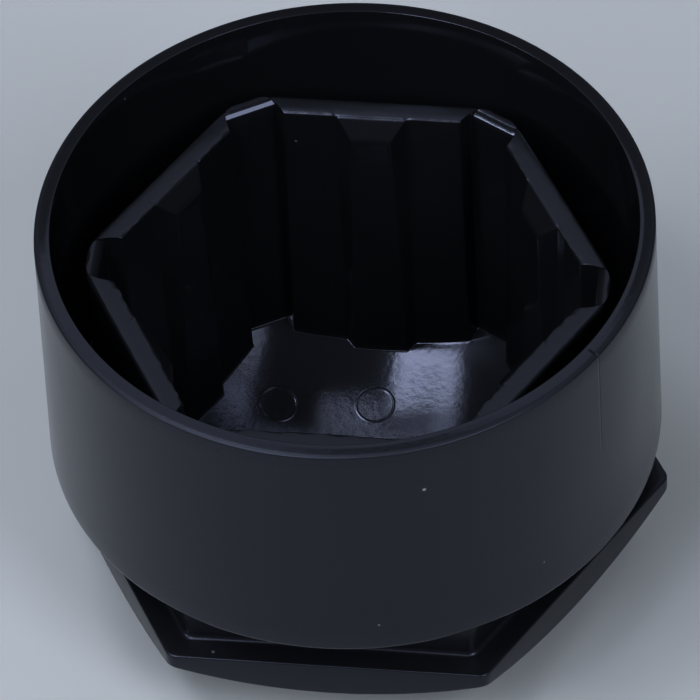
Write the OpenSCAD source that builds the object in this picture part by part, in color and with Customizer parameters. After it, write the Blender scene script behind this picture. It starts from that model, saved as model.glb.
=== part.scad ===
// Wheel nut cover cap, moulded in one piece: a domed hexagonal head at the bottom,
// a neck groove for the pulling tool above it, a round skirt, and a hexagonal socket
// inside that grips the bolt head with six ribs. It stands on its head, open end up.

/* [Bolt fit] */
// Across flats of the bolt head that the cap grips
bolt_af = 17; // [15:0.5:21]
// Room between each rib and the bolt head's flat at the mouth
rib_clearance = 0.03; // [0:0.01:0.15]

/* [Ribs] */
// How far a rib stands out of the socket's flat at the mouth
rib_h = 0.66; // [0.4:0.02:1.2]
// Width of a rib's crest at the mouth
rib_crest_w = 1.7; // [1:0.1:2.6]
// Widening of the crest from the mouth to the floor, for the mould's draft
rib_spread = 0.8; // [0:0.1:1.2]
// Slope of a rib's flanks, sideways for each millimetre of height
rib_flank = 1.05; // [0.5:0.05:1.2]
// Height of the slanted lead-in at the rib's upper end
rib_ramp_h = 0.9; // [0.4:0.1:2]

/* [Socket tube] */
// Wall of the tube at the middle of each flat, at the mouth
tube_wall = 1; // [0.7:0.05:1.5]
// Draft angle of the socket's flats and corner slots
socket_draft = 1.2; // [0:0.1:1.6]
// Outer radius of the tube's six rounded edges
tube_edge_r = 3.2; // [2:0.1:4]
// Wall that is left behind each corner slot
slot_wall = 0.6; // [0.4:0.05:1]
// Width of the slot in each inner corner, at the mouth
slot_w = 2.5; // [1.8:0.1:3.2]
// Narrowing of the slot from the mouth down to the floor
slot_narrowing = 0.6; // [0:0.1:1]
// Chamfer at the mouth of each corner slot
slot_chamfer = 0.25; // [0.1:0.05:0.4]
// How far the tube's end lies below the skirt's rim
tube_recess = 3.1; // [1:0.1:5]

/* [Skirt] */
// Gap between the tube's rounded edges and the skirt's rim
skirt_gap = 1.25; // [0.8:0.05:3]
// Wall of the skirt at its rim
rim_wall = 0.65; // [0.5:0.05:1]
// Height of the skirt, from its lower edge to its rim
skirt_h = 12.3; // [9:0.1:18]
// Draft angle of the skirt's outside
skirt_draft = 0.95; // [0:0.05:1.5]
// Draft angle of the skirt's inside
bore_draft = 0.7; // [0:0.05:1.2]
// Round on the rim's outer edge
rim_round = 0.22; // [0.1:0.02:0.3]
// Round on the rim's inner edge
rim_inner_round = 0.12; // [0.04:0.02:0.18]
// Round on the skirt's lower edge
hem_round = 0.25; // [0.1:0.05:0.6]
// Thickness of the web that joins skirt and tube
web_t = 1.3; // [0.8:0.1:2.5]
// Fillet where the web meets the skirt
web_fillet = 0.6; // [0.2:0.1:1]

/* [Neck groove] */
// Height of the groove between the skirt and the head
groove_h = 2.9; // [2:0.1:4]
// Wall of the neck around the socket's floor
neck_wall = 1.85; // [1.2:0.05:2.4]
// How far the head stands out beyond the neck
groove_d = 1.15; // [0.6:0.05:2]

/* [Head] */
// Height of the head, from its flat end to its shoulder
head_h = 4.6; // [4:0.1:6]
// Radius of the domed end
dome_r = 24.4; // [22:0.1:40]
// Diameter of the flat spot in the middle of the dome
flat_d = 8; // [6:0.5:12]
// Wall of the domed end
end_wall = 0.95; // [0.7:0.05:1.5]
// Radius of the head's six upright edges
head_edge_r = 0.6; // [0.2:0.1:1.5]

/* [Hidden] */
$fn = 96;

// A little more than a face, so that a cut goes right through it
over = 0.5;
flats = 6;

// Heights above the flat end
shoulder_z = head_h;
hem_z = shoulder_z + groove_h;
rim_z = hem_z + skirt_h;
mouth_z = rim_z - tube_recess;
web_top_z = hem_z + web_t;
dome_centre_z = sqrt(pow(dome_r, 2) - pow(flat_d / 2, 2));
floor_r = dome_r - end_wall;

// Half sizes across the flats, from the bolt outwards
rib_front = bolt_af / 2 + rib_clearance;
socket_half = rib_front + rib_h;
tube_half = socket_half + tube_wall;
floor_edge_z = dome_centre_z - sqrt(pow(floor_r, 2) - pow(socket_half, 2));
floor_half = socket_half - (mouth_z - floor_edge_z) * tan(socket_draft);
neck_half = floor_half + neck_wall;
head_half = neck_half + groove_d;

// Radii of what is round
tube_corner_r = rounded_corner(tube_half, tube_edge_r);
slot_r = tube_corner_r - slot_wall;
rim_inner_r = tube_corner_r + skirt_gap;
rim_outer_r = rim_inner_r + rim_wall;
hem_outer_r = rim_outer_r + skirt_h * tan(skirt_draft);
web_inner_r = rim_inner_r - (rim_z - web_top_z) * tan(bore_draft);

// How far a hexagon's corner reaches once it is rounded
function rounded_corner(half, edge_r) = (half - edge_r) / cos(30) + edge_r;

// Points of an arc about a centre
function arc(centre, r, from, to, steps = 8) =
    [for (i = [0:steps]) let (a = from + (to - from) * i / steps)
        centre + r * [cos(a), sin(a)]];

cap_black = [0.06, 0.06, 0.08];

module rounded_hexagon(half, edge_r) {
    centre_r = (half - edge_r) / cos(30);
    polygon([for (k = [0:flats - 1]) each
        arc(centre_r * [cos(60 * k), sin(60 * k)], edge_r, 60 * k - 30, 60 * k + 30)]);
}

// The hexagonal head, its lower end cut to the dome and the flat spot
module head() {
    intersection() {
        linear_extrude(shoulder_z) rounded_hexagon(head_half, head_edge_r);
        translate([0, 0, dome_centre_z]) sphere(dome_r, $fn = 180);
    }
}

// The neck runs up into the web
module neck() {
    translate([0, 0, shoulder_z - over])
        linear_extrude(groove_h + 2 * over) rounded_hexagon(neck_half, head_edge_r);
}

// Skirt and web, turned about the axis from one outline
module skirt() {
    hem_slope = (hem_outer_r - rim_outer_r) / skirt_h;
    rotate_extrude($fn = 180)
        polygon(concat(
            [[0, hem_z]],
            arc([hem_outer_r - hem_round - hem_slope * hem_round, hem_z + hem_round], hem_round, -90, 0),
            arc([rim_outer_r - rim_round, rim_z - rim_round], rim_round, 0, 90),
            arc([rim_inner_r + rim_inner_round, rim_z - rim_inner_round], rim_inner_round, 90, 180),
            arc([web_inner_r - web_fillet, web_top_z + web_fillet], web_fillet, 0, -90),
            [[0, web_top_z]]));
}

module tube() {
    translate([0, 0, hem_z])
        linear_extrude(mouth_z - hem_z) rounded_hexagon(tube_half, tube_edge_r);
}

// Bar with a four-sided outline at its foot and another, of like form, at its top
module tapered_bar(foot, top, top_z) {
    polyhedron(
        points = [for (p = foot) [p[0], p[1], 0], for (p = top) [p[0], p[1], top_z]],
        faces = [[0, 1, 2, 3], [7, 6, 5, 4], [0, 4, 5, 1], [1, 5, 6, 2], [2, 6, 7, 3], [3, 7, 4, 0]]);
}

// Slot in the inner corner that lies on +X, with a chamfer at its mouth
module corner_slot() {
    foot_r = slot_r - mouth_z * tan(socket_draft);
    foot_w = slot_w - slot_narrowing;
    tapered_bar(slot_outline(foot_r, foot_w), slot_outline(slot_r, slot_w), mouth_z);
    translate([0, slot_w / 2, mouth_z]) rotate([90, 0, 0])
        linear_extrude(slot_w)
            polygon([[0, -over], [slot_r - slot_chamfer, -2 * slot_chamfer], [slot_r + slot_chamfer, 0],
                     [slot_r + slot_chamfer, over], [0, over]]);
}

function slot_outline(r, w) = [[0, -w / 2], [r, -w / 2], [r, w / 2], [0, w / 2]];

// Inside of the socket: drafted flats, corner slots and a floor that follows the dome
module socket() {
    rise = mouth_z + over;
    intersection() {
        union() {
            cylinder(h = rise, r1 = half_at(0) / cos(30), r2 = half_at(rise) / cos(30), $fn = flats);
            for (k = [0:flats - 1]) rotate(60 * k) corner_slot();
        }
        translate([0, 0, dome_centre_z]) sphere(floor_r, $fn = 180);
    }
}

// Half size of the socket across its flats at a height
function half_at(z) = socket_half - (mouth_z - z) * tan(socket_draft);

// Rib on the flat that faces +Y, rooted in the wall and the floor
module rib() {
    difference() {
        tapered_bar(rib_outline(rib_crest_w + rib_spread), rib_outline(rib_crest_w), mouth_z);
        // Slanted lead-in, from the socket's edge down to the crest
        translate([-socket_half, 0, 0]) rotate([90, 0, 90])
            linear_extrude(2 * socket_half)
                polygon([[socket_half, mouth_z],
                         [socket_half - 2 * rib_h, mouth_z - 2 * rib_ramp_h],
                         [socket_half - 2 * rib_h, mouth_z + over],
                         [socket_half, mouth_z + over]]);
    }
}

// Crest and sloping flanks of a rib, back to its root inside the wall
function rib_outline(crest_w) =
    let (root_y = socket_half + tube_wall / 2,
         root_x = crest_w / 2 + (root_y - rib_front) * rib_flank)
    [[-crest_w / 2, rib_front], [crest_w / 2, rib_front], [root_x, root_y], [-root_x, root_y]];

// All six ribs, kept above the underside of the domed end
module ribs() {
    intersection() {
        for (k = [0:flats - 1]) rotate(60 * k) rib();
        translate([0, 0, dome_centre_z]) sphere(dome_r - end_wall / 2, $fn = 180);
    }
}

module cover_cap() {
    color(cap_black) {
        difference() {
            union() {
                head();
                neck();
                skirt();
                tube();
            }
            socket();
        }
        ribs();
    }
}

cover_cap();
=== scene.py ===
"""A wheel nut cover cap in black plastic, standing on its domed head with the open end up.

The cap is one closed surface. Rings of points go round its axis, and the rings follow one another
along its section: domed end, head, neck groove, skirt, rim, web, socket tube, socket and floor.
Lengths are in millimetres. MM turns them into metres where a mesh, a node or a lamp takes them.
"""
import math

import bpy
import numpy as np
from mathutils import Matrix, Vector


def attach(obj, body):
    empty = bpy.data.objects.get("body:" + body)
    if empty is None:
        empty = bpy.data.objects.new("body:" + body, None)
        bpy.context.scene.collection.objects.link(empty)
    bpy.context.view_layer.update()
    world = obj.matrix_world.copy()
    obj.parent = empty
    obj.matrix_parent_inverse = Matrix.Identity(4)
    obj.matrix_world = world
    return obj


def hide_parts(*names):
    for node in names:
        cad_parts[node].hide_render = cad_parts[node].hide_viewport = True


MM = 0.001
FLATS = 6

# Bolt fit and ribs
BOLT_AF = 17.0
RIB_CLEARANCE = 0.03
RIB_H = 0.66
RIB_CREST_W = 1.7
RIB_SPREAD = 0.8
RIB_FLANK = 1.05
RIB_RAMP_H = 0.9

# Socket tube
TUBE_WALL = 1.0
SOCKET_DRAFT = math.tan(math.radians(1.2))
TUBE_EDGE_R = 3.2
SLOT_WALL = 0.6
SLOT_W = 2.5
SLOT_NARROWING = 0.6
SLOT_CHAMFER = 0.25
TUBE_RECESS = 3.1

# Uneven round that the mould leaves along the inner edge of the tube's mouth: its mean size, how much
# of that varies, and its limits
BURR_ROUND = 0.1
BURR_UNEVEN = 0.7
BURR_LEAST = 0.02
BURR_MOST = 0.4
# What the round gains at the back, and the power by which that falls off towards the sides
BURR_BACK = 0.26
BURR_BACK_POWER = 12
# What it gains round each slot, from this far inside the bare hexagon's corner
BURR_SLOT = 0.2
BURR_SLOT_W = 0.8

# Skirt
SKIRT_GAP = 1.25
RIM_WALL = 0.65
SKIRT_H = 12.3
SKIRT_DRAFT = math.tan(math.radians(0.95))
BORE_DRAFT = math.tan(math.radians(0.7))
WEB_T = 1.3
# The rim's fall towards its outer edge, and how far it stands out sideways and upwards
RIM_SLOPE_H = 0.115
RIM_SWELL = 0.03
RIM_LIFT = 0.06

# Neck groove and head
GROOVE_H = 2.9
NECK_WALL = 1.85
GROOVE_D = 1.15
HEAD_H = 4.6
DOME_R = 24.4
FLAT_D = 8.0
END_WALL = 0.95
HEAD_EDGE_R = 0.6

# Softness of the edges along the section: how far from the edge its curve starts
FLAT_SOFT = 0.25
HEAD_FOOT_SOFT = 0.12
SHOULDER_SOFT = 0.1
NECK_FOOT_SOFT = 0.3
NECK_TOP_SOFT = 0.25
HEM_SOFT = 0.25
RIM_OUTER_SOFT = 0.1
RIM_INNER_SOFT = 0.04
WEB_SOFT = 0.6
TUBE_FOOT_SOFT = 0.3
TUBE_TOP_SOFT = 0.2
FLOOR_SOFT = 0.02
# Softness of the corners of the socket's outline, and the height at which it is set
SOCKET_SOFT = 0.07
MIDDLE_Z = 12.0
# Largest share of the way to the next ring that a softness takes
MOST_REACH = 0.48

# Roughness of the moulded surfaces, and the name under which each point keeps its own
FINISH = "finish"
POLISHED = 0.06
DULL = 0.24
SATIN = 0.14
RIM_DULL = 0.36
HEAD_DULL = 0.26
CORNER_DULL = 0.4
# Height over which the tube turns from polished to dull, and how far beyond its corners that counts
DULL_FOOT_Z = 16.6
DULL_TOP_Z = 16.68
TUBE_MARGIN = 0.3
# Inner part of the rim that is as polished as the skirt's inside, and height of the dull part
RIM_POLISHED_W = 0.43
RIM_DULL_H = 0.45
# Height of the dull corner above the floor, and how close to the floor a point counts as on it
CORNER_H = 0.2
ON_FLOOR = 0.002
# Depths below the mouth between which the slots' chamfers are polished
CHAMFER_TOP = 0.01
CHAMFER_FOOT = 3 * SLOT_CHAMFER
# Height, above and below the skirt's lower edge, that is as satin as the skirt
HEM_MARGIN = 0.1

# Black plastic: its darker and lighter tone, the tint of its sheen, and the clouds between them
PLASTIC_IOR = 1.5
DARK_TONE = (0.0078, 0.0084, 0.0100, 1)
PALE_TONE = (0.0100, 0.0108, 0.0130, 1)
SHEEN_TONE = (0.74, 0.77, 1.0, 1)
CLOUD_SCALE = 220
CLOUD_DETAIL = 3
CLOUD_ROUGHNESS = 0.08
# Fine grain that the mould leaves
GRAIN_SCALE = 3000
GRAIN_DETAIL = 4
GRAIN_H = 0.003
# Pale specks: place, radius and paleness; their tone, and the share of the radius that is palest
SPECKS = (
    ((4.65, -12.36, 17.26), 0.12, 0.35),
    ((2.56, -13.10, 9.11), 0.08, 0.16),
    ((9.24, -9.61, 9.75), 0.08, 0.14),
    ((-4.97, -11.49, 4.60), 0.10, 0.12),
    ((-10.38, 6.98, 19.31), 0.09, 0.10),
    ((-3.38, 9.15, 14.96), 0.09, 0.10),
)
SPECK_TONE = (0.9, 0.9, 0.95, 1)
SPECK_CORE = 0.3
# Rings left on the floor by the mould's ejector pins
PINS = ((-4.35, 5.40, 1.67), (-0.03, 5.94, 1.39))
PIN_R = 0.85
PIN_LINE_W = 0.08
PIN_LINE_H = 0.011
# Fine line down the skirt where the mould's halves part, which fades out towards its foot
PARTING_TURN = math.radians(-30.2)
PARTING_W = 0.07
PARTING_H = 0.02
PARTING_FOOT_Z = 13.5
PARTING_FADE_H = 1.5

# Light: how far away the softboxes and the ceiling's strips are, and their tone
LIGHT_DISTANCE = 500.0
CEILING = 480.0
LIGHT_TONE = (0.82, 0.89, 1.0)
# Light of the walls and of the room above; one fades into the other between two sines of elevation
WALL_LIGHT = 0.05
UPPER_LIGHT = 0.17
WALL_TOP = 0.26
UPPER_FOOT = 0.7
VIEW_GAMMA = 0.84

# Heights above the flat spot of the domed end
SHOULDER_Z = HEAD_H
HEM_Z = SHOULDER_Z + GROOVE_H
RIM_Z = HEM_Z + SKIRT_H
MOUTH_Z = RIM_Z - TUBE_RECESS
WEB_TOP_Z = HEM_Z + WEB_T
DOME_CENTRE_Z = math.sqrt(DOME_R**2 - (FLAT_D / 2) ** 2)
FLOOR_R = DOME_R - END_WALL

# Half sizes across the flats, from the bolt outwards
COS30 = math.cos(math.radians(30))
SIN30 = 0.5
RIB_FRONT = BOLT_AF / 2 + RIB_CLEARANCE
SOCKET_HALF = RIB_FRONT + RIB_H
TUBE_HALF = SOCKET_HALF + TUBE_WALL
FLOOR_EDGE_Z = DOME_CENTRE_Z - math.sqrt(FLOOR_R**2 - SOCKET_HALF**2)
FLOOR_HALF = SOCKET_HALF - (MOUTH_Z - FLOOR_EDGE_Z) * SOCKET_DRAFT
NECK_HALF = FLOOR_HALF + NECK_WALL
HEAD_HALF = NECK_HALF + GROOVE_D

# Radii of what is round
TUBE_CORNER_R = (TUBE_HALF - TUBE_EDGE_R) / COS30 + TUBE_EDGE_R
SLOT_R = TUBE_CORNER_R - SLOT_WALL
RIM_INNER_R = TUBE_CORNER_R + SKIRT_GAP
RIM_OUTER_R = RIM_INNER_R + RIM_WALL
HEM_OUTER_R = RIM_OUTER_R + SKIRT_H * SKIRT_DRAFT
WEB_INNER_R = RIM_INNER_R - (RIM_Z - WEB_TOP_Z) * BORE_DRAFT

# Samples round the ring: on each softened corner of the socket's outline, and on the sides between.
# The sides go from slot end to slot end: slot side, flat, rib flank, rib crest, and back again.
BEND = 5
SIDE_SAMPLES = [3, 12, 3, 7, 3, 12, 3, 7]
SECTOR = BEND * len(SIDE_SAMPLES) + sum(SIDE_SAMPLES)
AROUND = FLATS * SECTOR
# A hexagon's corner takes as many samples as the slot in front of it
SLOT_SAMPLES = 4 * BEND + 2 * SIDE_SAMPLES[0] + SIDE_SAMPLES[-1]
# Samples from the middle of a slot's end, where the hexagon's corner is, to the start of a sector
CORNER_SHIFT = SIDE_SAMPLES[-1] // 2 + 1

# Rings of the section that lie between its edges, as shares of the flat spot's size, of the way from
# there to the head's edge, of the way down the socket's wall, and of the floor's size
FLAT_SHARES = (0.3, 0.7)
DOME_SHARES = np.linspace(0, 1, 12)[1:-1]
WALL_SHARES = (*np.linspace(0, 0.97, 11)[1:], 0.99)
FLOOR_SHARES = (0.988, *np.linspace(0.97, 0, 28)[:-1])
# Rings of the slots' chamfers and the ribs' lead-ins: depth below the mouth, softness, bend samples
LEAD_IN_RINGS = (
    (SLOT_CHAMFER, 0, 1),
    (2 * SLOT_CHAMFER, 0.06, 3),
    (0.7, 0, 1),
    (RIB_RAMP_H, 0.1, 3),
    (1.3, 0, 1),
)
# Rounds in which the floor's edge is brought to the floor's height
EDGE_ROUNDS = 4


def loop_weights(corners, soft, bends, sides):
    """Weights that make a softened loop of a closed polygon: ring = weights @ corners.

    Each corner P with neighbours A and B becomes the quadratic curve from P + s(A - P) to P + s(B - P)
    that has P as its handle, where s is the softness divided by the side's length. Each side between
    two such curves is divided evenly. bends and sides give the samples of each.
    """
    count = len(corners)
    unit = np.eye(count)
    before = np.roll(unit, 1, axis=0)
    after = np.roll(unit, -1, axis=0)
    length = np.linalg.norm(np.roll(corners, -1, axis=0) - corners, axis=1)
    start = unit + (before - unit) * (soft / np.roll(length, 1))[:, None]
    end = unit + (after - unit) * (soft / length)[:, None]
    next_start = np.roll(start, -1, axis=0)
    rows = []
    for k in range(count):
        u = np.linspace(0, 1, bends[k])[:, None]
        v = np.arange(1, sides[k] + 1)[:, None] / (sides[k] + 1)
        rows.append((1 - u) ** 2 * start[k] + 2 * u * (1 - u) * unit[k] + u**2 * end[k])
        rows.append((1 - v) * end[k] + v * next_start[k])
    return np.concatenate(rows)


def at_height(xy, z):
    """Ring of points (x, y, z) from plan points and one height or a height for each."""
    return np.column_stack([xy, np.broadcast_to(z, len(xy))])


def circle(r):
    """Plan points r(cos a, sin a), evenly spaced, in step with the socket's outline."""
    a = 2 * np.pi * (np.arange(AROUND) + CORNER_SHIFT) / AROUND
    return r * np.column_stack([np.cos(a), np.sin(a)])


def hexagon(half, edge_r):
    """Plan points of a hexagon of that half size across its flats, with its corners rounded.

    The corners lie at half / cos 30 on the angles 60k. A round of radius r starts r tan 30 from them.
    """
    a = np.radians(60) * np.arange(FLATS)
    corners = half / COS30 * np.column_stack([np.cos(a), np.sin(a)])
    soft = edge_r * SIN30 / COS30
    weights = loop_weights(
        corners, soft, [SLOT_SAMPLES] * FLATS, [SECTOR - SLOT_SAMPLES] * FLATS
    )
    return np.roll(weights @ corners, -(SLOT_SAMPLES // 2 + CORNER_SHIFT), axis=0)


def socket_corners(z):
    """Corners of the socket's outline at the heights z, as an array (heights, corners, 2).

    On each flat, u goes along it and v away from the axis. From the slot's end the corners are: slot's
    end, slot's edge on the flat, rib's root, rib's crest, and the same mirrored. The flats and slots
    draw in by their draft going down, the slots narrow and the ribs widen.
    """
    z = np.atleast_1d(np.asarray(z, float))
    below = MOUTH_Z - z
    flat = SOCKET_HALF - below * SOCKET_DRAFT
    slot_half_w = (SLOT_W - SLOT_NARROWING * below / MOUTH_Z) / 2
    slot_end = np.maximum(SLOT_R - below * SOCKET_DRAFT, SLOT_R + SLOT_CHAMFER - below)
    ramp = RIB_FRONT + RIB_H * (1 - below / RIB_RAMP_H)
    crest = np.minimum(np.maximum(ramp, RIB_FRONT), flat)
    half_w = (RIB_CREST_W + RIB_SPREAD * below / MOUTH_Z) / 2
    root_u = half_w + (flat - RIB_FRONT) * RIB_FLANK
    crest_u = half_w + (crest - RIB_FRONT) * RIB_FLANK
    edge_x = (flat - slot_half_w * SIN30) / COS30
    edge_u = edge_x * SIN30 - slot_half_w * COS30
    end_u = slot_end * SIN30 - slot_half_w * COS30
    end_v = slot_end * COS30 + slot_half_w * SIN30
    u = np.stack([-end_u, -edge_u, -root_u, -crest_u, crest_u, root_u, edge_u, end_u], axis=1)
    v = np.stack([end_v, flat, flat, crest, crest, flat, flat, end_v], axis=1)
    facing = np.radians(30 + 60 * np.arange(FLATS))[:, None]
    x = v[:, None] * np.cos(facing) - u[:, None] * np.sin(facing)
    y = v[:, None] * np.sin(facing) + u[:, None] * np.cos(facing)
    return np.stack([x, y], axis=-1).reshape(len(z), -1, 2)


# The outline's weights are set once, at the middle height, so that its samples keep their places
SOCKET_WEIGHTS = loop_weights(
    socket_corners(MIDDLE_Z)[0],
    SOCKET_SOFT,
    [BEND] * len(SIDE_SAMPLES) * FLATS,
    SIDE_SAMPLES * FLATS,
)


def socket(z):
    """Plan points of the socket's outline, each taken at its own height."""
    z = np.broadcast_to(np.asarray(z, float), AROUND)
    return np.einsum("ik,ikc->ic", SOCKET_WEIGHTS, socket_corners(z))


def dome_z(xy):
    """Height of the domed end under a plan point: a sphere, cut off level at the flat spot."""
    return np.maximum(DOME_CENTRE_Z - np.sqrt(DOME_R**2 - np.sum(xy**2, axis=1)), 0)


def floor_z(xy):
    """Height of the socket's floor, a sphere about the dome's centre."""
    return DOME_CENTRE_Z - np.sqrt(FLOOR_R**2 - np.sum(xy**2, axis=1))


def floor_edge():
    """Ring where the socket's wall meets the floor: the outline at z, where z is the floor's height."""
    z = np.full(AROUND, FLOOR_EDGE_Z)
    for _ in range(EDGE_ROUNDS):
        xy = socket(z)
        z = floor_z(xy)
    return at_height(xy, z)


def reach(soft, other, here):
    """Share of the way from here to the other ring that the softness takes, MOST_REACH at most.

    The softness is one number, or one for each point of the ring.
    """
    length = np.linalg.norm(other - here, axis=1)
    return np.minimum(soft / np.maximum(length, 1e-6), MOST_REACH)[:, None]


def soften(path):
    """Rings along a section path of (ring, softness, bend samples, span samples).

    Every column of the path is a polyline. Each of its corners becomes a quadratic curve that starts
    and ends at the softness from it, and the spans between are divided evenly.
    """
    rings = [path[0][0]]
    for k in range(1, len(path) - 1):
        before, here, after = path[k - 1][0], path[k][0], path[k + 1][0]
        soft, bends = path[k][1], path[k][2]
        start = here + (before - here) * reach(soft, before, here)
        end = here + (after - here) * reach(soft, after, here)
        spans = path[k - 1][3]
        last = rings[-1]
        rings += [last + (start - last) * j / (spans + 1) for j in range(1, spans + 1)]
        if bends == 1:
            rings.append(here)
        else:
            u = np.linspace(0, 1, bends)
            rings += [(1 - t) ** 2 * start + 2 * t * (1 - t) * here + t**2 * end for t in u]
    rings.append(path[-1][0])
    return np.array(rings)


def ragged():
    """Uneven value round the ring, mostly from -1 to 1: a sum of sines whose counts share no factor."""
    turn = 2 * np.pi * np.arange(AROUND) / AROUND
    counts = np.array([17, 31, 53, 79, 113, 151])
    starts = np.array([0.3, 2.1, 4.4, 1.2, 5.3, 3.7])
    return np.sin(np.outer(turn, counts) + starts).sum(axis=1) / math.sqrt(len(counts))


def mouth_round(mouth):
    """Size of the round at each point of the mouth's inner edge."""
    corner_r = SOCKET_HALF / COS30
    burr = BURR_ROUND * (1 + BURR_UNEVEN * ragged())
    burr += BURR_BACK * np.clip(mouth[:, 1] / SOCKET_HALF, 0, 1) ** BURR_BACK_POWER
    burr += BURR_SLOT * (np.hypot(mouth[:, 0], mouth[:, 1]) > corner_r - BURR_SLOT_W)
    return np.clip(burr, BURR_LEAST, BURR_MOST)


def cap_path():
    """The section from the domed end, out and up the skirt, and down inside to the floor."""
    flat_spot = circle(FLAT_D / 2)
    head = hexagon(HEAD_HALF, HEAD_EDGE_R)
    neck = hexagon(NECK_HALF, HEAD_EDGE_R)
    tube = hexagon(TUBE_HALF, TUBE_EDGE_R)
    rim_edge = circle(RIM_OUTER_R + RIM_SWELL)
    path = [(at_height(flat_spot * g, 0), 0, 1, 0) for g in FLAT_SHARES]
    path.append((at_height(flat_spot, 0), FLAT_SOFT, 3, 0))
    for g in DOME_SHARES:
        xy = flat_spot + (head - flat_spot) * g
        path.append((at_height(xy, dome_z(xy)), 0, 1, 0))
    path += [
        (at_height(head, dome_z(head)), HEAD_FOOT_SOFT, BEND, 1),
        (at_height(head, SHOULDER_Z), SHOULDER_SOFT, BEND, 3),
        (at_height(neck, SHOULDER_Z), NECK_FOOT_SOFT, BEND, 3),
        (at_height(neck, HEM_Z), NECK_TOP_SOFT, BEND, 3),
        (at_height(circle(HEM_OUTER_R), HEM_Z), HEM_SOFT, 6, 12),
        (at_height(rim_edge, RIM_Z + RIM_LIFT - RIM_SLOPE_H), RIM_OUTER_SOFT, 6, 2),
        (at_height(circle(RIM_INNER_R), RIM_Z + RIM_LIFT), RIM_INNER_SOFT, 4, 10),
        (at_height(circle(WEB_INNER_R), WEB_TOP_Z), WEB_SOFT, 6, 1),
        (at_height(tube, WEB_TOP_Z), TUBE_FOOT_SOFT, BEND, 6),
        (at_height(tube, MOUTH_Z), TUBE_TOP_SOFT, BEND, 2),
    ]
    mouth = socket(MOUTH_Z)
    path.append((at_height(mouth, MOUTH_Z), mouth_round(mouth), 8, 1))
    for below, soft, bends in LEAD_IN_RINGS:
        path.append((at_height(socket(MOUTH_Z - below), MOUTH_Z - below), soft, bends, 0))
    edge = floor_edge()
    top_z = MOUTH_Z - LEAD_IN_RINGS[-1][0]
    for g in WALL_SHARES:
        z = top_z + (edge[:, 2] - top_z) * g
        path.append((at_height(socket(z), z), 0, 1, 0))
    path.append((edge, FLOOR_SOFT, 3, 0))
    for g in FLOOR_SHARES:
        xy = edge[:, :2] * g
        path.append((at_height(xy, floor_z(xy)), 0, 1, 0))
    return path


def put_mesh(name, points, quads, triangles):
    """Mesh object from points in millimetres and the faces' corner numbers, smooth all over."""
    corners = np.concatenate([quads.ravel(), triangles.ravel()]).astype(np.int32)
    sizes = np.repeat([4, 3], [len(quads), len(triangles)])
    mesh = bpy.data.meshes.new(name)
    mesh.vertices.add(len(points))
    mesh.vertices.foreach_set("co", (points * MM).astype(np.float32).ravel())
    mesh.loops.add(len(corners))
    mesh.loops.foreach_set("vertex_index", corners)
    mesh.polygons.add(len(sizes))
    mesh.polygons.foreach_set("loop_start", (np.cumsum(sizes) - sizes).astype(np.int32))
    mesh.update(calc_edges=True)
    mesh.validate()
    mesh.shade_smooth()
    piece = bpy.data.objects.new(name, mesh)
    bpy.context.scene.collection.objects.link(piece)
    return piece


def roughness(points):
    """Roughness left by the mould at each point.

    The socket, the slots' chamfers, the inside of the skirt and the rim's inner part are polished. The
    tube's mouth is dull, and so are the rim's outer part and the corner between wall and floor. What
    lies outside is satin, and duller on the head: beyond the rim's polished part, under the skirt
    outside the socket, or further from the dome's centre than the middle of its wall.
    """
    x, y, z = points.T
    radius = np.hypot(x, y)
    to_centre = np.hypot(radius, z - DOME_CENTRE_Z)
    share = np.clip((z - DULL_FOOT_Z) / (DULL_TOP_Z - DULL_FOOT_Z), 0, 1)
    on_tube = radius < TUBE_CORNER_R + TUBE_MARGIN
    inside = np.where(on_tube, POLISHED + (DULL - POLISHED) * share, POLISHED)
    at_slot_end = radius > SLOT_R - SLOT_CHAMFER
    chamfer_height = (z < MOUTH_Z - CHAMFER_TOP) & (z > MOUTH_Z - CHAMFER_FOOT)
    inside = np.where(at_slot_end & chamfer_height, POLISHED, inside)
    at_corner = (to_centre > FLOOR_R - CORNER_H) & (to_centre < FLOOR_R - ON_FLOOR)
    inside = np.where(at_corner, CORNER_DULL, inside)
    beyond_rim = radius > RIM_INNER_R + RIM_POLISHED_W
    outside = beyond_rim | (to_centre > FLOOR_R + END_WALL / 2)
    outside |= (z < HEM_Z + HEM_MARGIN) & (radius > SLOT_R)
    outer = np.where(z < HEM_Z - HEM_MARGIN, HEAD_DULL, SATIN)
    return np.where(beyond_rim & (z > RIM_Z - RIM_DULL_H), RIM_DULL, np.where(outside, outer, inside))


def closed_surface(name, rings, low_pole, high_pole):
    """Piece from rings of points that follow one another, closed at both ends by a pole.

    Point i of ring j is joined to point i + 1 and to ring j + 1. Faces turn so that they point away
    from the inside when the rings go from the bottom outwards. The finish is kept for each point.
    """
    count, around = rings.shape[:2]
    points = np.concatenate([rings.reshape(-1, 3), [low_pole, high_pole]])
    i = np.arange(around)
    after = np.roll(i, -1)
    j = np.arange(count - 1)[:, None] * around
    quads = np.stack([j + i, j + after, j + around + after, j + around + i], axis=-1)
    low, high = count * around, count * around + 1
    last = (count - 1) * around
    low_fan = np.column_stack([np.full(around, low), after, i])
    high_fan = np.column_stack([np.full(around, high), last + i, last + after])
    piece = put_mesh(name, points, quads.reshape(-1, 4), np.concatenate([low_fan, high_fan]))
    finish = piece.data.attributes.new(FINISH, "FLOAT", "POINT")
    finish.data.foreach_set("value", roughness(points).astype(np.float32))
    return piece


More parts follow.
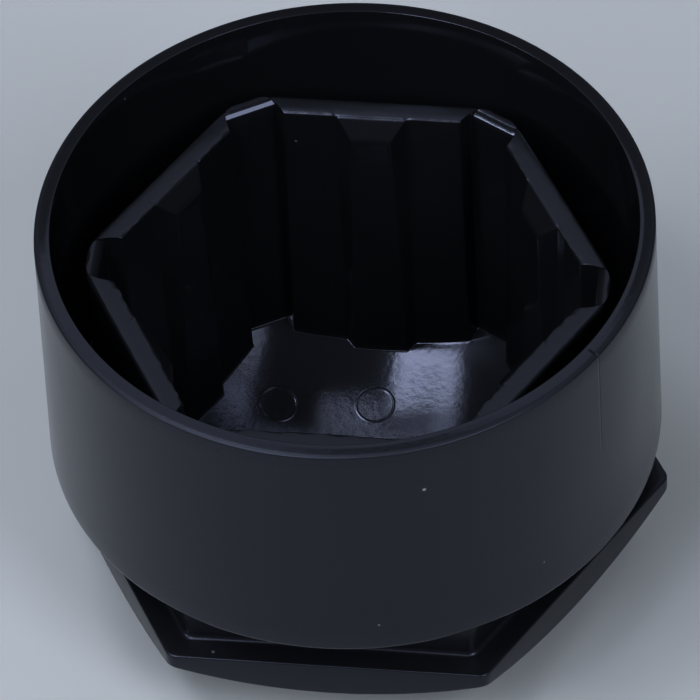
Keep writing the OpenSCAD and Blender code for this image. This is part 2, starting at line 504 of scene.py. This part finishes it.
class Graph:
    """Maker of the small nodes that the material's pattern and the walls' light are built from."""

    def __init__(self, tree):
        self.nodes = tree.nodes
        self.links = tree.links

    def fill(self, entry, value):
        """Give an input a constant, or link it to another node's output."""
        if isinstance(value, bpy.types.NodeSocket):
            self.links.new(value, entry)
        else:
            entry.default_value = value

    def math(self, operation, *values):
        """Result of a sum, product or the like."""
        node = self.nodes.new("ShaderNodeMath")
        node.operation = operation
        for entry, value in zip(node.inputs, values):
            self.fill(entry, value)
        return node.outputs["Value"]

    def vector(self, operation, first, second):
        """Distance or dot product of two vectors."""
        node = self.nodes.new("ShaderNodeVectorMath")
        node.operation = operation
        self.fill(node.inputs[0], first)
        self.fill(node.inputs[1], second)
        return node.outputs["Value"]

    def fade(self, value, full, none):
        """1 at full, going softly to 0 at none."""
        node = self.nodes.new("ShaderNodeMapRange")
        node.interpolation_type = "SMOOTHSTEP"
        self.fill(node.inputs["Value"], value)
        node.inputs["From Min"].default_value = full
        node.inputs["From Max"].default_value = none
        node.inputs["To Min"].default_value = 1
        node.inputs["To Max"].default_value = 0
        return node.outputs["Result"]

    def noise(self, place, scale, detail):
        """Cloudy value from 0 to 1."""
        node = self.nodes.new("ShaderNodeTexNoise")
        node.inputs["Scale"].default_value = scale
        node.inputs["Detail"].default_value = detail
        self.links.new(place, node.inputs["Vector"])
        return node.outputs["Fac"]

    def mix(self, share, first, second):
        """Colour between two others."""
        node = self.nodes.new("ShaderNodeMix")
        node.data_type = "RGBA"
        self.fill(node.inputs["Factor"], share)
        self.fill(node.inputs["A"], first)
        self.fill(node.inputs["B"], second)
        return node.outputs["Result"]


def relief(graph, place):
    """Height in metres of the grain, the ejector pins' rings and the parting line."""
    height = graph.math("MULTIPLY", graph.noise(place, GRAIN_SCALE, GRAIN_DETAIL), GRAIN_H * MM)
    for pin in PINS:
        from_pin = graph.vector("DISTANCE", place, [c * MM for c in pin])
        from_ring = graph.math("ABSOLUTE", graph.math("SUBTRACT", from_pin, PIN_R * MM))
        ring = graph.fade(from_ring, 0, PIN_LINE_W * MM)
        height = graph.math("MULTIPLY_ADD", ring, PIN_LINE_H * MM, height)
    out = (math.cos(PARTING_TURN), math.sin(PARTING_TURN), 0)
    aside = graph.math("ABSOLUTE", graph.vector("DOT_PRODUCT", place, (-out[1], out[0], 0)))
    line = graph.fade(aside, 0, PARTING_W * MM)
    on_skirt = graph.fade(graph.vector("DOT_PRODUCT", place, out), RIM_OUTER_R * MM, RIM_INNER_R * MM)
    z = graph.vector("DOT_PRODUCT", place, (0, 0, 1))
    above = graph.fade(z, (PARTING_FOOT_Z + PARTING_FADE_H) * MM, PARTING_FOOT_Z * MM)
    line = graph.math("MULTIPLY", line, graph.math("MULTIPLY", on_skirt, above))
    return graph.math("MULTIPLY_ADD", line, -PARTING_H * MM, height)


def black_plastic():
    """Moulded black plastic: near black with a cool sheen, and a finish that varies a little."""
    material = bpy.data.materials.new("black_plastic")
    material.use_nodes = True
    graph = Graph(material.node_tree)
    shader = graph.nodes["Principled BSDF"]
    shader.inputs["IOR"].default_value = PLASTIC_IOR
    shader.inputs["Specular Tint"].default_value = SHEEN_TONE
    place = graph.nodes.new("ShaderNodeTexCoord").outputs["Object"]
    cloud = graph.noise(place, CLOUD_SCALE, CLOUD_DETAIL)
    tone = graph.mix(cloud, DARK_TONE, PALE_TONE)
    for centre, radius, paleness in SPECKS:
        from_speck = graph.vector("DISTANCE", place, [c * MM for c in centre])
        speck = graph.fade(from_speck, radius * SPECK_CORE * MM, radius * MM)
        tone = graph.mix(graph.math("MULTIPLY", speck, paleness), tone, SPECK_TONE)
    graph.links.new(tone, shader.inputs["Base Color"])
    bump = graph.nodes.new("ShaderNodeBump")
    bump.inputs["Distance"].default_value = 1
    graph.links.new(relief(graph, place), bump.inputs["Height"])
    graph.links.new(bump.outputs["Normal"], shader.inputs["Normal"])
    finish = graph.nodes.new("ShaderNodeAttribute")
    finish.attribute_name = FINISH
    uneven = graph.math("MULTIPLY_ADD", cloud, CLOUD_ROUGHNESS, finish.outputs["Fac"])
    graph.links.new(uneven, shader.inputs["Roughness"])
    return material


def softbox(name, wide, high, radiance):
    """Rectangular lamp that faces down. Its power is pi times radiance times area in square metres."""
    lamp = bpy.data.lights.new(name, "AREA")
    lamp.shape = "RECTANGLE"
    lamp.size = wide * MM
    lamp.size_y = high * MM
    lamp.energy = math.pi * radiance * lamp.size * lamp.size_y
    lamp.color = LIGHT_TONE
    box = bpy.data.objects.new(name, lamp)
    bpy.context.scene.collection.objects.link(box)
    return box


def soft_light(name, azimuth, elevation, wide, high, radiance):
    """Softbox that faces the cap from LIGHT_DISTANCE away; angles in degrees.

    Azimuth 0 is -Y, where the camera is, and 90 is +X. wide and high are the angles that the box
    fills, seen from the cap.
    """
    turn, rise = math.radians(azimuth), math.radians(elevation)
    way = Vector((math.sin(turn) * math.cos(rise), -math.cos(turn) * math.cos(rise), math.sin(rise)))
    wide_mm = 2 * LIGHT_DISTANCE * math.tan(math.radians(wide / 2))
    high_mm = 2 * LIGHT_DISTANCE * math.tan(math.radians(high / 2))
    box = softbox(name, wide_mm, high_mm, radiance)
    box.location = way * LIGHT_DISTANCE * MM
    box.rotation_euler = (-way).to_track_quat("-Z", "Y").to_euler()


def ceiling_light(name, across, along, radiance):
    """Softbox that lies level above the cap, between two x and two y values."""
    box = softbox(name, across[1] - across[0], along[1] - along[0], radiance)
    box.location = Vector((sum(across) / 2, sum(along) / 2, CEILING)) * MM


def set_camera():
    """Camera at the photo's viewing angle: a long lens, rolled a little and aimed inside the cap."""
    azimuth = math.radians(9.049)
    elevation = math.radians(48.09)
    roll = math.radians(-3.372)
    distance = 294.1
    aim_z = 12.78
    shift_left = 0.032
    shift_down = 0.712
    back = Vector(
        (
            math.sin(azimuth) * math.cos(elevation),
            -math.cos(azimuth) * math.cos(elevation),
            math.sin(elevation),
        )
    )
    level = Vector((0, 0, 1)).cross(back).normalized()
    upward = back.cross(level)
    right = level * math.cos(roll) + upward * math.sin(roll)
    up = upward * math.cos(roll) - level * math.sin(roll)
    aim = Vector((0, 0, aim_z)) - right * shift_left - up * shift_down
    data = bpy.data.cameras.new("camera")
    data.lens = 350.5
    data.sensor_width = 36
    data.clip_start = 0.01
    data.clip_end = 10
    camera = bpy.data.objects.new("camera", data)
    turn = Matrix((right, up, back)).transposed().to_4x4()
    camera.matrix_world = Matrix.Translation((aim + back * distance) * MM) @ turn
    bpy.context.scene.collection.objects.link(camera)
    bpy.context.scene.camera = camera


def set_stage():
    """Pale floor under the cap."""
    half_side = 3000.0
    points = half_side * np.array([[-1, -1, 0], [1, -1, 0], [1, 1, 0], [-1, 1, 0]])
    ground = put_mesh("ground", points, np.array([[0, 1, 2, 3]]), np.zeros((0, 3), int))
    material = bpy.data.materials.new("pale_floor")
    material.use_nodes = True
    shader = material.node_tree.nodes["Principled BSDF"]
    shader.inputs["Base Color"].default_value = (0.49, 0.49, 0.49, 1)
    shader.inputs["Roughness"].default_value = 0.9
    shader.inputs["Specular IOR Level"].default_value = 0.1
    ground.data.materials.append(material)


def set_light():
    """Dim studio: strips and softboxes over walls that get lighter upwards, and the view's tones."""
    world = bpy.data.worlds.new("studio")
    world.use_nodes = True
    graph = Graph(world.node_tree)
    walls = graph.nodes["Background"]
    walls.inputs["Color"].default_value = (*LIGHT_TONE, 1)
    way = graph.nodes.new("ShaderNodeTexCoord").outputs["Generated"]
    low = graph.fade(graph.vector("DOT_PRODUCT", way, (0, 0, 1)), WALL_TOP, UPPER_FOOT)
    strength = graph.math("MULTIPLY_ADD", low, WALL_LIGHT - UPPER_LIGHT, UPPER_LIGHT)
    graph.links.new(strength, walls.inputs["Strength"])
    bpy.context.scene.world = world
    view = bpy.context.scene.view_settings
    view.view_transform = "Standard"
    view.gamma = VIEW_GAMMA
    ceiling_light("strip_back", (-184, -74), (-28, 116), 11.5)
    ceiling_light("strip_middle", (-190, -150), (-140, -28), 13.0)
    ceiling_light("strip_front", (-190, -66), (-205, -140), 20.0)
    ceiling_light("patch", (146, 220), (-20, 84), 3.4)
    soft_light("window_right", 46, 43, 18, 30, 7.0)
    soft_light("window_left", -24, 46, 14, 34, 5.0)
    soft_light("lamp_left", -60, 31, 14, 10, 16.0)
    soft_light("front_upper", 5, 50, 110, 26, 0.6)
    soft_light("back_upper", -164, 58, 40, 24, 0.8)


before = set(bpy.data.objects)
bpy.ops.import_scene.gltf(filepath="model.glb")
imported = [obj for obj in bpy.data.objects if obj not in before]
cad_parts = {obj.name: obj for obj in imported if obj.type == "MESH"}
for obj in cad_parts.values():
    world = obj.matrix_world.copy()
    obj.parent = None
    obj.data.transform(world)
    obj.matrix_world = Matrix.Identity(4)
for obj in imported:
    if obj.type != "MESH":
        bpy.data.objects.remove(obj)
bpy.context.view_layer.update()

cap = closed_surface("cap", soften(cap_path()), (0, 0, 0), (0, 0, DOME_CENTRE_Z - FLOOR_R))
cap.data.materials.append(black_plastic())
normals = cap.modifiers.new("normals", "WEIGHTED_NORMAL")
normals.mode = "FACE_AREA"
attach(cap, "root")
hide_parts("cover_cap")

set_camera()
set_stage()
set_light()
